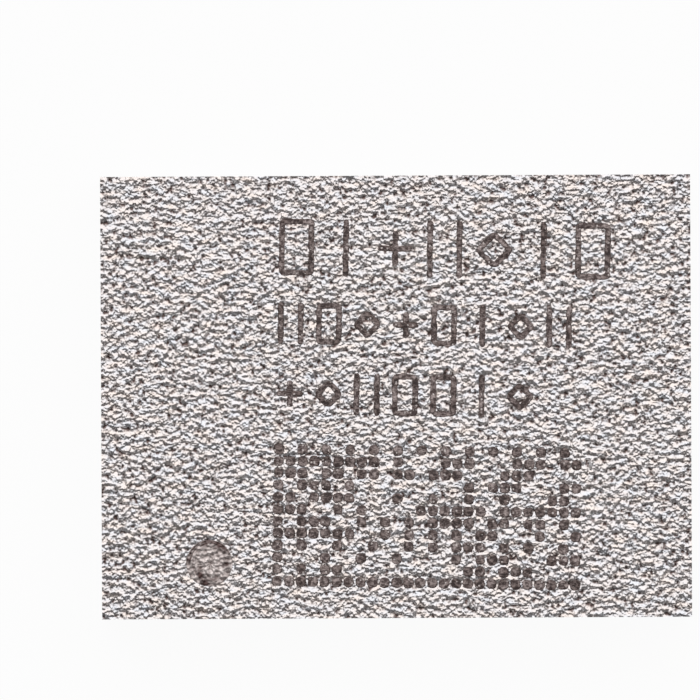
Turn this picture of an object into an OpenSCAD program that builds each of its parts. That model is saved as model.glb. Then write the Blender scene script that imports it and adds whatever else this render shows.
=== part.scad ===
// Power amplifier module in a shielded land grid package, seen from above as it is soldered down.
// Millimetres. Origin at the middle of the seating plane, +X along the length, +Z up to the shield's top.

/* [Package] */
// Length over the shield
package_l = 4.0; // [3.6:0.01:4.4]
// Width over the shield
package_w = 3.0; // [2.7:0.01:3.3]
// Height from the seating plane to the top of the shield
package_h = 0.75; // [0.7:0.01:0.9]
// Thickness of the sputtered metal shield
shield_t = 0.01; // [0.007:0.001:0.015]
// Thickness of the laminate
laminate_t = 0.25; // [0.22:0.01:0.28]

/* [Terminals] */
// Side of a square terminal pad
pad_side = 0.3; // [0.25:0.005:0.32]
// Side of a square corner pad
corner_side = 0.25; // [0.2:0.005:0.27]
// Distance from the package edge to the outer edge of the pads
pad_inset = 0.15; // [0.13:0.005:0.16]
// Thickness of a plated pad
pad_t = 0.025; // [0.022:0.001:0.035]
// Widest diameter of a laser drilled via, at the pad
via_mouth_d = 0.1; // [0.08:0.005:0.12]
// Narrowest diameter of a laser drilled via, inside the laminate
via_tip_d = 0.07; // [0.05:0.005:0.078]
// Depth of a laser drilled via
via_depth = 0.06; // [0.04:0.005:0.09]

/* [Ground pads] */
// Side of a square ground pad
ground_side = 0.36; // [0.3:0.005:0.4]
// Spacing of the ground pads
ground_pitch = 0.5; // [0.48:0.005:0.52]
// Diameter of a copper filled thermal via
thermal_via_d = 0.1; // [0.08:0.005:0.12]
// Spacing of the four thermal vias on one ground pad
thermal_via_pitch = 0.18; // [0.15:0.005:0.2]

/* [Solder masks] */
// Thickness of the lower solder mask, less than a pad's
lower_mask_t = 0.018; // [0.012:0.001:0.02]
// Thickness of the upper solder mask
upper_mask_t = 0.025; // [0.02:0.001:0.03]
// Gap between a pad and the mask round it
mask_gap = 0.03; // [0.02:0.002:0.036]
// Distance that the mask's fingers reach past the pads' outer edges
finger_reach = 0.025; // [0.018:0.001:0.035]
// Radius of the corners at a finger's end
finger_r = 0.03; // [0.01:0.002:0.036]
// Border of bare laminate round the upper mask
upper_border = 0.06; // [0.04:0.005:0.08]

/* [Amplifier die] */
// Length of the amplifier die
amp_l = 0.9; // [0.84:0.01:0.96]
// Width of the amplifier die
amp_w = 0.8; // [0.74:0.01:0.86]
// Thickness of the amplifier die
amp_t = 0.1; // [0.08:0.005:0.13]
// Thickness of the die attach
attach_t = 0.012; // [0.008:0.001:0.02]
// Distance that the die attach squeezes out past the die
attach_rim = 0.015; // [0.01:0.001:0.022]
// Distance that the copper flag reaches past the die
flag_rim = 0.05; // [0.03:0.005:0.055]

/* [Bond wires] */
// Diameter of a gold bond wire
wire_d = 0.025; // [0.018:0.001:0.03]
// Spacing of the wires along an edge of the die
wire_pitch = 0.15; // [0.13:0.005:0.16]
// Distance from the die's edge in to a ball bond
wire_inset = 0.06; // [0.045:0.005:0.08]
// Distance from the die's edge out to a stitch bond
wire_reach = 0.25; // [0.22:0.005:0.27]
// Height from the die to where a wire starts to bend
wire_rise = 0.08; // [0.05:0.005:0.1]
// Radius of a wire's bend
wire_bend = 0.04; // [0.03:0.002:0.05]
// Diameter of a ball bond
ball_d = 0.06; // [0.045:0.005:0.075]
// Height of a ball bond
ball_h = 0.015; // [0.01:0.001:0.02]
// Length of a stitch bond along its wire
stitch_l = 0.06; // [0.045:0.005:0.08]
// Width of a stitch bond
stitch_w = 0.04; // [0.035:0.005:0.06]
// Height of a wire's end over its land, inside the stitch
stitch_lift = 0.002; // [0.001:0.001:0.004]
// Length of a wire's land
wire_land_l = 0.1; // [0.09:0.005:0.12]
// Width of a wire's land
wire_land_w = 0.09; // [0.07:0.005:0.1]

/* [Flip chips] */
// Length of the controller die
controller_l = 0.7; // [0.62:0.01:0.76]
// Width of the controller die
controller_w = 0.6; // [0.52:0.01:0.66]
// Length of the antenna switch die
switch_l = 0.5; // [0.45:0.01:0.56]
// Width of the antenna switch die
switch_w = 0.7; // [0.64:0.01:0.74]
// Thickness of the controller and switch dies
logic_t = 0.15; // [0.1:0.01:0.2]
// Spacing of the bumps under the controller and switch dies
logic_pitch = 0.17; // [0.15:0.005:0.175]
// Length of a filter
filter_l = 0.8; // [0.74:0.01:0.86]
// Width of a filter
filter_w = 0.6; // [0.54:0.01:0.64]
// Thickness of a filter
filter_t = 0.2; // [0.15:0.01:0.24]
// Spacing of the bumps under a filter
filter_pitch = 0.27; // [0.24:0.005:0.3]
// Diameter of a copper bump
bump_d = 0.07; // [0.05:0.005:0.08]
// Height of a copper bump
bump_h = 0.05; // [0.035:0.005:0.07]
// Diameter of a bump's land
bump_land_d = 0.1; // [0.085:0.005:0.12]

/* [Chip parts] */
// Length of a large capacitor or inductor
large_l = 0.6; // [0.56:0.01:0.64]
// Width of a large capacitor or inductor
large_w = 0.3; // [0.26:0.01:0.34]
// Height of a large capacitor or inductor
large_h = 0.3; // [0.26:0.01:0.33]
// Length of a small capacitor or inductor
small_l = 0.4; // [0.36:0.01:0.44]
// Width of a small capacitor or inductor
small_w = 0.2; // [0.16:0.01:0.24]
// Height of a small capacitor or inductor
small_h = 0.2; // [0.16:0.01:0.24]
// Length of an end cap as a share of its part
end_share = 0.25; // [0.2:0.01:0.32]
// Thickness of an end cap's metal
end_t = 0.012; // [0.008:0.001:0.018]
// Thickness of the solder under a chip part
solder_t = 0.02; // [0.012:0.001:0.03]
// Reach of the solder fillet past an end cap
fillet_l = 0.045; // [0.03:0.005:0.05]
// Height of the solder fillet up an end cap
fillet_h = 0.07; // [0.05:0.005:0.1]
// Thickness of the copper lands on the laminate
land_t = 0.018; // [0.012:0.001:0.02]

/* [Layout] */
// Distance from the moulded block's edge to the large inner parts
part_margin = 0.24; // [0.2:0.01:0.28]
// Distance from the block's upper edge to the antenna switch and the send filter
upper_margin = 0.34; // [0.3:0.01:0.38]
// Distance from the block's edge to the small parts along it
edge_margin = 0.14; // [0.12:0.01:0.17]
// Gap between inner parts side by side
column_gap = 0.18; // [0.15:0.01:0.2]
// Gap between the two capacitors one above the other
row_gap = 0.22; // [0.18:0.01:0.25]
// Distance of the output capacitor above the middle
output_y = 0.2; // [0.18:0.01:0.24]
// Distance of the choke below the middle
choke_y = 0.3; // [0.26:0.01:0.33]
// Distance of the output inductor below the middle
coil_y = 0.08; // [0.06:0.01:0.12]

/* [Laser marks] */
// Degrees that the signs and the dot code are turned clockwise from square
mark_turn = 0.7; // [0:0.1:1]
// Depth of a laser mark
mark_depth = 0.004; // [0.002:0.001:0.005]
// Width of a laser stroke
stroke_w = 0.038; // [0.03:0.002:0.045]
// Diameter of the pin one mark
pin_mark_d = 0.3; // [0.25:0.01:0.34]
// Distance from the package's left edge to the pin one mark's middle
pin_mark_x = 0.7365; // [0.7:0.005:0.76]
// Distance from the package's lower edge to the pin one mark's middle
pin_mark_y = 0.373; // [0.35:0.005:0.42]
// Diameter of a dot in the dot code
dot_d = 0.066; // [0.05:0.002:0.07]
// Spacing of the dots
dot_pitch = 0.08; // [0.076:0.001:0.084]
// Distance of the dot code's middle to the right of the package's middle
code_x = 0.228; // [0.2:0.002:0.25]
// Distance of the dot code's middle below the package's middle
code_y = 0.82; // [0.8:0.002:0.84]
// Height of the signs in the top row
top_sign_h = 0.365; // [0.34:0.005:0.39]
// Height of the signs in the two lower rows
low_sign_h = 0.26; // [0.24:0.005:0.28]
// Spacing of the signs in the top row
top_sign_pitch = 0.335; // [0.32:0.005:0.35]
// Spacing of the signs in the two lower rows
low_sign_pitch = 0.26; // [0.25:0.005:0.27]
// Distance from the package's middle to the left end of the rows
sign_left = 0.81; // [0.78:0.01:0.84]
// Height of the top row over the package's middle
top_row_y = 1.0; // [0.97:0.005:1.03]
// Height of the middle row over the package's middle
middle_row_y = 0.475; // [0.45:0.005:0.5]
// Height of the low row over the package's middle
low_row_y = 0.0075; // [0.005:0.0005:0.02]

/* [Hidden] */
ROW_COUNT = 6;
SIDE_COUNT = 4;
CODE_COLUMNS = 26;
CODE_ROWS = 12;
PAD_NODES = [for (n = [1 : 2 * (ROW_COUNT + SIDE_COUNT) + 4]) str("terminal_", n < 10 ? "0" : "", n)];
CHIP_PARTS = [
    "supply_capacitor", "bias_capacitor", "input_capacitor", "input_inductor",
    "output_capacitor", "output_inductor", "choke_inductor", "match_capacitor"
];

$fn = 32;
// How far a cutting solid runs past the face it opens
OVER = 0.01;
// Points on each rounded corner of the mask's fingers
ARC_STEPS = 4;

// Levels, from the seating plane up
laminate_z = pad_t;
lands_z = laminate_z + laminate_t;
parts_z = lands_z + land_t;
amp_z = parts_z + attach_t;
amp_top = amp_z + amp_t;
shield_z = package_h - shield_t;

// The moulded block inside the shield
block_l = package_l - 2 * shield_t;
block_w = package_w - 2 * shield_t;

// Pad places, as distances from the middle
row_y = package_w / 2 - pad_inset - pad_side / 2;
side_x = package_l / 2 - pad_inset - pad_side / 2;
corner_x = package_l / 2 - pad_inset - corner_side / 2;
corner_y = package_w / 2 - pad_inset - corner_side / 2;

// Where the mask's comb ends beside the corner pads, and the opening round a pad
comb_x = corner_x - corner_side / 2 - mask_gap;
comb_y = corner_y - corner_side / 2 - mask_gap;
notch_w = pad_side + 2 * mask_gap;
// Spacing of the terminals, with equal mask fingers beside them all
row_pitch = notch_w + (2 * comb_x - ROW_COUNT * notch_w) / (ROW_COUNT + 1);
side_pitch = notch_w + (2 * comb_y - SIDE_COUNT * notch_w) / (SIDE_COUNT + 1);

// The amplifier die stands over four ground pads
amp_at = [-1.5 * ground_pitch, 0.5 * ground_pitch];
GROUND_COLUMNS = [-2 : 2];
GROUND_ROWS = [-1 : 1];

// Outer edge of the wire lands on the amplifier's right
wires_end = amp_at[0] + amp_l / 2 + wire_reach + wire_land_l / 2;

// Middles of the other inner parts, each set off from the block's edge or from its neighbour
controller_at = [part_margin + controller_l / 2 - block_l / 2, part_margin + controller_w / 2 - block_w / 2];
switch_at = [block_l / 2 - part_margin - switch_l / 2, block_w / 2 - upper_margin - switch_w / 2];
send_filter_at = [wires_end + column_gap + filter_l / 2, block_w / 2 - upper_margin - filter_w / 2];
receive_filter_at = [block_l / 2 - part_margin - filter_l / 2, part_margin + filter_w / 2 - block_w / 2];
CONTROLLER_GRID = [4, 3];
SWITCH_GRID = [2, 4];
FILTER_GRID = [3, 2];

// Half lengths of the chip parts over their fillets
large_reach = large_l / 2 + fillet_l;
small_reach = small_l / 2 + fillet_l;
beside_controller = controller_at[0] + controller_l / 2 + column_gap + large_reach;
beside_wires = wires_end + column_gap + large_reach;
bias_y = edge_margin + small_w / 2 - block_w / 2;
supply_y = bias_y + small_w / 2 + row_gap + large_w / 2;
input_y = block_w / 2 - edge_margin - small_w / 2;
input_x = part_margin + small_reach - block_l / 2;

// Chip parts: middle, turn, and whether it is one of the large ones
CHIP_PLACES = [
    [[beside_controller, supply_y], 0, true],
    [[beside_controller, bias_y], 0, false],
    [[input_x + 2 * small_reach + column_gap, input_y], 0, false],
    [[input_x, input_y], 0, false],
    [[beside_wires, output_y], 0, true],
    [[switch_at[0], -coil_y], 90, true],
    [[beside_wires, -choke_y], 0, true],
    [[receive_filter_at[0] - filter_l / 2 - column_gap - small_w / 2, receive_filter_at[1]], 90, false]
];
CHIP_COLOURS = [
    "#a58a6c", "#b49a78", "#b49a78", "#2f4a63",
    "#a58a6c", "#2f4a63", "#2f4a63", "#b49a78"
];

// Sides of the amplifier die that carry wires: direction, number of wires, distance from middle to edge
WIRE_SIDES = [
    [0, 4, amp_l / 2],
    [90, 4, amp_w / 2],
    [180, 4, amp_l / 2],
    [270, 3, amp_w / 2]
];

// Rows of signs: height of the row's middle, height and spacing of its signs, and each sign's kind
SIGN_ROWS = [
    [top_row_y, top_sign_h, top_sign_pitch, [0, 1, 2, 3, 4, 1, 0]],
    [middle_row_y, low_sign_h, low_sign_pitch, [3, 0, 4, 2, 0, 1, 4, 3]],
    [low_row_y, low_sign_h, low_sign_pitch, [2, 4, 3, 0, 0, 1, 4]]
];
// Width of a sign as a share of its height
SIGN_SHAPE = 0.62;

// Middle and side of terminal n, counted from the pin one corner, counterclockwise from above
function terminal_at(n) =
    let (
        k = n - 1,
        right = ROW_COUNT + 1,
        top = right + SIDE_COUNT + 1,
        left = top + ROW_COUNT + 1
    )
    k == 0 ? [-corner_x, -corner_y, corner_side] :
    k < right ? [row_pitch * (k - 1 - (ROW_COUNT - 1) / 2), -row_y, pad_side] :
    k == right ? [corner_x, -corner_y, corner_side] :
    k < top ? [side_x, side_pitch * (k - right - 1 - (SIDE_COUNT - 1) / 2), pad_side] :
    k == top ? [corner_x, corner_y, corner_side] :
    k < left ? [-row_pitch * (k - top - 1 - (ROW_COUNT - 1) / 2), row_y, pad_side] :
    k == left ? [-corner_x, corner_y, corner_side] :
    [-side_x, -side_pitch * (k - left - 1 - (SIDE_COUNT - 1) / 2), pad_side];

// Points of an arc about a middle, from one angle to another
function arc(at, r, from, to) =
    [for (i = [0 : ARC_STEPS]) let (a = from + (to - from) * i / ARC_STEPS) at + r * [cos(a), sin(a)]];

// One side of the lower mask in its own plane, u along the side and v outward, from corner notch to corner notch
function comb_side(half_u, corner_v, edge_v, notch_v, count, pitch) =
    let (r = finger_r, half = notch_w / 2)
    concat(
        [[-half_u, corner_v]],
        arc([-half_u + r, edge_v - r], r, 180, 90),
        [
            for (i = [0 : count - 1])
                let (u = pitch * (i - (count - 1) / 2))
                each concat(
                    arc([u - half - r, edge_v - r], r, 90, 0),
                    [[u - half, notch_v], [u + half, notch_v]],
                    arc([u + half + r, edge_v - r], r, 180, 90)
                )
        ],
        arc([half_u - r, edge_v - r], r, 90, 0)
    );

// The lower mask's whole outline, a comb with a finger between every two pads
function comb_outline() =
    let (
        edge = pad_inset - finger_reach,
        edge_x = package_l / 2 - edge,
        edge_y = package_w / 2 - edge,
        long = comb_side(comb_x, comb_y, edge_y, row_y - notch_w / 2, ROW_COUNT, row_pitch),
        short = comb_side(comb_y, comb_x, edge_x, side_x - notch_w / 2, SIDE_COUNT, side_pitch)
    )
    concat(
        [for (p = long) [p[0], -p[1]]],
        [for (p = short) [p[1], p[0]]],
        [for (p = long) [-p[0], p[1]]],
        [for (p = short) [-p[1], -p[0]]]
    );

// Length, width and height of a chip part
function chip_size(large) = large ? [large_l, large_w, large_h] : [small_l, small_w, small_h];

// A generic scatter of marked and bare cells inside a frame of marked ones, like any dot code
function dot_marked(i, j) =
    i == 0 || j == 0 ? true :
    j == CODE_ROWS - 1 ? i % 2 == 0 :
    i == CODE_COLUMNS - 1 ? j % 2 == 0 :
    ((31 * i * i + 17 * j * j + 23 * i * j + 7 * i + 5 * j) % 97) % 2 == 0;

// A flat box on level z, centred on a point
module slab(at, size, z, h) {
    translate([at[0], at[1], z + h / 2]) cube([size[0], size[1], h], center = true);
}

// The five sided metal skin, thinned where the laser has marked it
module shield() {
    color([0.7, 0.68, 0.675])
    difference() {
        slab([0, 0], [package_l, package_w], laminate_z, package_h - laminate_z);
        slab([0, 0], [block_l, block_w], laminate_z - OVER, shield_z - laminate_z + OVER);
        translate([0, 0, package_h - mark_depth]) laser_marks();
    }
}

module laser_marks() {
    height = mark_depth + OVER;
    translate([pin_mark_x - package_l / 2, pin_mark_y - package_w / 2, 0]) cylinder(d = pin_mark_d, h = height);
    rotate(-mark_turn) {
        for (i = [0 : CODE_COLUMNS - 1], j = [0 : CODE_ROWS - 1])
            if (dot_marked(i, j))
                translate([
                    code_x + dot_pitch * (i - (CODE_COLUMNS - 1) / 2),
                    dot_pitch * (j - (CODE_ROWS - 1) / 2) - code_y,
                    0
                ]) cylinder(d = dot_d, h = height, $fn = 8);
        for (row = SIGN_ROWS, i = [0 : len(row[3]) - 1])
            translate([SIGN_SHAPE * row[1] / 2 - sign_left + row[2] * i, row[0], 0])
            linear_extrude(height) sign_shape(row[3][i], row[1]);
    }
}

// One plain sign of five kinds: an open square, a bar, a plus, two bars or an open diamond
module sign_shape(kind, h) {
    wide = SIGN_SHAPE * h;
    if (kind == 0)
        difference() {
            square([wide, h], center = true);
            square([wide - 2 * stroke_w, h - 2 * stroke_w], center = true);
        }
    if (kind == 1) square([stroke_w, h], center = true);
    if (kind == 2) {
        square([stroke_w, wide], center = true);
        square([wide, stroke_w], center = true);
    }
    if (kind == 3)
        for (side = [-1, 1]) translate([side * (wide - stroke_w) / 2, 0]) square([stroke_w, h], center = true);
    if (kind == 4) {
        across = wide / sqrt(2) + stroke_w / 2;
        rotate(45) difference() {
            square(across, center = true);
            square(across - 2 * stroke_w, center = true);
        }
    }
}

// The moulding compound, cast round everything that stands on the laminate
module mould() {
    color([0.16, 0.155, 0.16])
    difference() {
        slab([0, 0], [block_l, block_w], lands_z, shield_z - lands_z);
        upper_mask();
        flag();
        top_lands();
        amplifier_die();
        die_attach();
        bond_wires();
        flip_chips();
        solder_joints();
        for (i = [0 : len(CHIP_PLACES) - 1]) {
            chip_body(i);
            chip_ends(i);
        }
    }
}

module laminate() {
    color([0.54, 0.36, 0.23])
    difference() {
        slab([0, 0], [block_l, block_w], laminate_z, laminate_t);
        for (n = [1 : len(PAD_NODES)]) {
            at = terminal_at(n);
            translate([at[0], at[1], 0]) laser_via();
        }
        other_ground_places() laser_via();
        thermal_vias();
    }
}

// The lower solder mask, open round every pad
module lower_mask() {
    z = laminate_z - lower_mask_t;
    color([0.05, 0.22, 0.2])
    difference() {
        translate([0, 0, z]) linear_extrude(lower_mask_t) polygon(comb_outline());
        for (i = GROUND_COLUMNS, j = GROUND_ROWS)
            slab(
                ground_pitch * [i, j],
                (ground_side + 2 * mask_gap) * [1, 1],
                z - OVER,
                lower_mask_t + 2 * OVER
            );
    }
}

// The upper solder mask, with a window round each part's lands
module upper_mask() {
    color([0.06, 0.26, 0.2])
    translate([0, 0, lands_z]) linear_extrude(upper_mask_t)
    difference() {
        square([block_l - 2 * upper_border, block_w - 2 * upper_border], center = true);
        window(amp_at, [amp_l + 2 * flag_rim, amp_w + 2 * flag_rim]);
        for (side = WIRE_SIDES)
            translate(amp_at) rotate(side[0])
            window([side[2] + wire_reach, 0], [wire_land_l, wire_pitch * (side[1] - 1) + wire_land_w]);
        window(controller_at, [controller_l, controller_w]);
        window(switch_at, [switch_l, switch_w]);
        window(send_filter_at, [filter_l, filter_w]);
        window(receive_filter_at, [filter_l, filter_w]);
        for (part = CHIP_PLACES) {
            size = chip_size(part[2]);
            translate(part[0]) rotate(part[1]) window([0, 0], [size[0] + 2 * fillet_l, size[1]]);
        }
    }
}

module window(at, size) {
    translate(at) square([size[0] + 2 * mask_gap, size[1] + 2 * mask_gap], center = true);
}

// A blind via, widest at the pad
module laser_via() {
    translate([0, 0, laminate_z]) cylinder(d1 = via_mouth_d, d2 = via_tip_d, h = via_depth);
}

// A plated terminal pad with its via
module terminal(n) {
    at = terminal_at(n);
    color([0.84, 0.72, 0.58])
    translate([at[0], at[1], 0]) {
        slab([0, 0], [at[2], at[2]], 0, pad_t);
        laser_via();
    }
}

// True for the four ground pads under the amplifier die
function under_amp(i, j) = (i == -2 || i == -1) && (j == 0 || j == 1);

module other_ground_places() {
    for (i = GROUND_COLUMNS, j = GROUND_ROWS)
        if (!under_amp(i, j)) translate([ground_pitch * i, ground_pitch * j, 0]) children();
}

module amp_ground_places() {
    for (i = GROUND_COLUMNS, j = GROUND_ROWS)
        if (under_amp(i, j)) translate([ground_pitch * i, ground_pitch * j, 0]) children();
}

module ground_pads() {
    color([0.84, 0.72, 0.58])
    other_ground_places() {
        slab([0, 0], [ground_side, ground_side], 0, pad_t);
        laser_via();
    }
}

// Copper through the laminate that takes the amplifier's heat down to four ground pads
module thermal_ground() {
    color([0.84, 0.72, 0.58]) {
        amp_ground_places() slab([0, 0], [ground_side, ground_side], 0, pad_t);
        thermal_vias();
        flag();
    }
}

module thermal_vias() {
    amp_ground_places()
        for (x = [-0.5, 0.5], y = [-0.5, 0.5])
            translate([thermal_via_pitch * x, thermal_via_pitch * y, laminate_z])
            cylinder(d = thermal_via_d, h = laminate_t);
}

module flag() {
    slab(amp_at, [amp_l + 2 * flag_rim, amp_w + 2 * flag_rim], lands_z, land_t);
}

// Copper lands for the wires, bumps and chip parts
module top_lands() {
    color([0.8, 0.5, 0.3]) {
        wire_places() slab([wire_inset + wire_reach, 0], [wire_land_l, wire_land_w], lands_z, land_t);
        bump_lands(controller_at, CONTROLLER_GRID, logic_pitch);
        bump_lands(switch_at, SWITCH_GRID, logic_pitch);
        bump_lands(send_filter_at, FILTER_GRID, filter_pitch);
        bump_lands(receive_filter_at, FILTER_GRID, filter_pitch);
        for (part = CHIP_PLACES) {
            size = chip_size(part[2]);
            translate(part[0]) rotate(part[1]) for (turn = [0, 180]) rotate(turn)
                slab(
                    [(size[0] + fillet_l - end_share * size[0]) / 2, 0],
                    [end_share * size[0] + fillet_l, size[1]],
                    lands_z,
                    land_t
                );
        }
    }
}

module bump_places(at, grid, pitch) {
    for (i = [0 : grid[0] - 1], j = [0 : grid[1] - 1])
        translate([at[0] + pitch * (i - (grid[0] - 1) / 2), at[1] + pitch * (j - (grid[1] - 1) / 2), 0])
        children();
}

module bump_lands(at, grid, pitch) {
    bump_places(at, grid, pitch) translate([0, 0, lands_z]) cylinder(d = bump_land_d, h = land_t);
}

module bumps(at, grid, pitch) {
    color([0.78, 0.6, 0.45])
    bump_places(at, grid, pitch) translate([0, 0, parts_z]) cylinder(d = bump_d, h = bump_h);
}

module amplifier_die() {
    color([0.36, 0.37, 0.42]) slab(amp_at, [amp_l, amp_w], amp_z, amp_t);
}

module die_attach() {
    color([0.75, 0.75, 0.76])
    slab(amp_at, [amp_l + 2 * attach_rim, amp_w + 2 * attach_rim], parts_z, attach_t);
}

// Each wire's ball bond, with +X pointing out over the die's edge
module wire_places() {
    for (side = WIRE_SIDES, i = [0 : side[1] - 1])
        translate([amp_at[0], amp_at[1], 0]) rotate(side[0])
        translate([side[2] - wire_inset, wire_pitch * (i - (side[1] - 1) / 2), 0])
        children();
}

module bond_wires() {
    color([0.9, 0.72, 0.35]) wire_places() bond_wire();
}

// Ball, riser, round bend and a straight fall to the stitch, all in one upright plane
module bond_wire() {
    run = wire_inset + wire_reach;
    bend_z = amp_top + wire_rise;
    end_z = parts_z + wire_d / 2 + stitch_lift;
    span = norm([run - wire_bend, bend_z - end_z]);
    fall = atan2(bend_z - end_z, run - wire_bend) + asin(wire_bend / span);
    translate([0, 0, amp_top]) cylinder(d = ball_d, h = ball_h);
    translate([0, 0, amp_top + ball_h / 2]) cylinder(d = wire_d, h = wire_rise - ball_h / 2);
    translate([wire_bend, 0, bend_z]) rotate([90, 0, 0]) rotate(90 - fall)
        rotate_extrude(angle = 90 + fall) translate([wire_bend, 0]) circle(d = wire_d);
    translate([run, 0, end_z]) {
        rotate([0, fall - 90, 0]) cylinder(d = wire_d, h = sqrt(span * span - wire_bend * wire_bend));
        sphere(d = wire_d);
    }
    slab([run, 0], [stitch_l, stitch_w], parts_z, wire_d / 2 + 2 * stitch_lift);
}

module die_on_bumps(at, size, t) {
    slab(at, size, parts_z + bump_h, t);
}

module controller_die() {
    color([0.3, 0.32, 0.36]) die_on_bumps(controller_at, [controller_l, controller_w], logic_t);
}

module controller_bumps() {
    bumps(controller_at, CONTROLLER_GRID, logic_pitch);
}

module switch_die() {
    color([0.3, 0.32, 0.36]) die_on_bumps(switch_at, [switch_l, switch_w], logic_t);
}

module switch_bumps() {
    bumps(switch_at, SWITCH_GRID, logic_pitch);
}

module send_filter() {
    color([0.72, 0.74, 0.76]) die_on_bumps(send_filter_at, [filter_l, filter_w], filter_t);
}

module send_filter_bumps() {
    bumps(send_filter_at, FILTER_GRID, filter_pitch);
}

module receive_filter() {
    color([0.72, 0.74, 0.76]) die_on_bumps(receive_filter_at, [filter_l, filter_w], filter_t);
}

module receive_filter_bumps() {
    bumps(receive_filter_at, FILTER_GRID, filter_pitch);
}

module flip_chips() {
    controller_die();
    controller_bumps();
    switch_die();
    switch_bumps();
    send_filter();
    send_filter_bumps();
    receive_filter();
    receive_filter_bumps();
}

// The ceramic or wound body of chip part i, inside its end caps
module chip_body(i) {
    part = CHIP_PLACES[i];
    size = chip_size(part[2]);
    color(CHIP_COLOURS[i])
    translate([part[0][0], part[0][1], parts_z + solder_t]) rotate(part[1])
    slab([0, 0], [size[0] - 2 * end_t, size[1] - 2 * end_t], end_t, size[2] - 2 * end_t);
}

// The two metal caps of chip part i, each closed at its end and wrapped round four sides
module chip_ends(i) {
    part = CHIP_PLACES[i];
    size = chip_size(part[2]);
    cap_l = end_share * size[0];
    color([0.78, 0.78, 0.76])
    translate([part[0][0], part[0][1], parts_z + solder_t]) rotate(part[1])
    for (turn = [0, 180]) rotate(turn)
    difference() {
        slab([(size[0] - cap_l) / 2, 0], [cap_l, size[1]], 0, size[2]);
        slab([0, 0], [size[0] - 2 * end_t, size[1] - 2 * end_t], end_t, size[2] - 2 * end_t);
    }
}

// Solder under every end cap, with a sloping fillet up its end
module solder_joints() {
    color([0.66, 0.67, 0.68])
    for (part = CHIP_PLACES) {
        size = chip_size(part[2]);
        inner = size[0] / 2 - end_share * size[0];
        outer = size[0] / 2;
        translate([part[0][0], part[0][1], parts_z]) rotate(part[1])
        for (turn = [0, 180]) rotate(turn)
        translate([0, size[1] / 2, 0]) rotate([90, 0, 0]) linear_extrude(size[1])
        polygon([
            [inner, 0],
            [outer + fillet_l, 0],
            [outer, solder_t + fillet_h],
            [outer, solder_t],
            [inner, solder_t]
        ]);
    }
}

shield();
mould();
laminate();
upper_mask();
lower_mask();
thermal_ground();
ground_pads();
top_lands();
for (n = [1 : len(PAD_NODES)]) terminal(n);
amplifier_die();
die_attach();
bond_wires();
controller_die();
controller_bumps();
switch_die();
switch_bumps();
send_filter();
send_filter_bumps();
receive_filter();
receive_filter_bumps();
for (i = [0 : len(CHIP_PARTS) - 1]) {
    chip_body(i);
    chip_ends(i);
}
solder_joints();
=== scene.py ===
"""Power amplifier module in a shielded land grid package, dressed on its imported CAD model.

Metres, in the model's own frame: the origin is in the middle of the seating plane, +X runs along the
length and +Z up to the top of the shield.
"""

import bmesh
import bpy
import numpy as np
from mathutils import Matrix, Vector


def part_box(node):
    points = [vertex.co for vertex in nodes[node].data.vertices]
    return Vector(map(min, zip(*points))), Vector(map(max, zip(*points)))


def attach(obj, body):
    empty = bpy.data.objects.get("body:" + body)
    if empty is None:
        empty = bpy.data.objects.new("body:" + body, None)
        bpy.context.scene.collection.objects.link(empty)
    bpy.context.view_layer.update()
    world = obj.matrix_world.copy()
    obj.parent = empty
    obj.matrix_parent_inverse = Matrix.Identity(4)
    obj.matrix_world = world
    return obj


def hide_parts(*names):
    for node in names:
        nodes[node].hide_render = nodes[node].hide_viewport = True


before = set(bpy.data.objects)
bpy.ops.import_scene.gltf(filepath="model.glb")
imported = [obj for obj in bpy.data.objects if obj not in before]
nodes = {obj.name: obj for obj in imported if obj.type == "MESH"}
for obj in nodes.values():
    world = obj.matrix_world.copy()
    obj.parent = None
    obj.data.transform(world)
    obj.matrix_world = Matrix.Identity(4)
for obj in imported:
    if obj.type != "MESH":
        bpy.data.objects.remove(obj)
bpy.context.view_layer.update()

# Camera. A long lens looks straight down on the shield, which the photograph shows square on. The camera
# stands off the package's middle by as much as the package stands off the picture's, and is rolled by as
# much as the package lies askew.
PICTURE_PIXELS = 700
PIXELS_PER_METRE = 147.5e3
CHIP_OFF_RIGHT = 46.1
CHIP_OFF_DOWN = 46.85
ROLL = np.radians(-0.275)
LENS_MM = 800.0
SENSOR_MM = 36.0

shield_low, shield_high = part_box("shield")
lens = bpy.data.cameras.new("lens")
lens.lens = LENS_MM
lens.sensor_width = SENSOR_MM
lens.clip_start = 1e-4
lens.clip_end = 2.0
camera = bpy.data.objects.new("camera", lens)
picture_right = np.array([np.cos(ROLL), np.sin(ROLL)])
picture_up = np.array([-np.sin(ROLL), np.cos(ROLL)])
camera_x, camera_y = (CHIP_OFF_DOWN * picture_up - CHIP_OFF_RIGHT * picture_right) / PIXELS_PER_METRE
camera_height = PICTURE_PIXELS / PIXELS_PER_METRE * LENS_MM / SENSOR_MM
camera.location = (camera_x, camera_y, shield_high.z + camera_height)
camera.rotation_euler.z = ROLL
bpy.context.scene.collection.objects.link(camera)
bpy.context.scene.camera = camera
bpy.context.scene.view_settings.view_transform = "Standard"


# Studio. One broad soft lamp stands over the shield's far edge and a weak one opposite it. The backdrop is
# white, up to a dim and slightly warm ceiling. Lamp and ceiling meet almost over the shield, so its grain
# shows light and dark sides.
def add(tree, kind, inputs=None, **settings):
    """One shader node, its settings, and each input given a value or joined to a socket."""
    made = tree.nodes.new(kind)
    for key, value in settings.items():
        setattr(made, key, value)
    for key, value in (inputs or {}).items():
        if isinstance(value, bpy.types.NodeSocket):
            tree.links.new(value, made.inputs[key])
        else:
            made.inputs[key].default_value = value
    return made


def calc(tree, operation, *values):
    """The socket of one Math node."""
    return add(tree, "ShaderNodeMath", dict(enumerate(values)), operation=operation).outputs[0]


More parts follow.
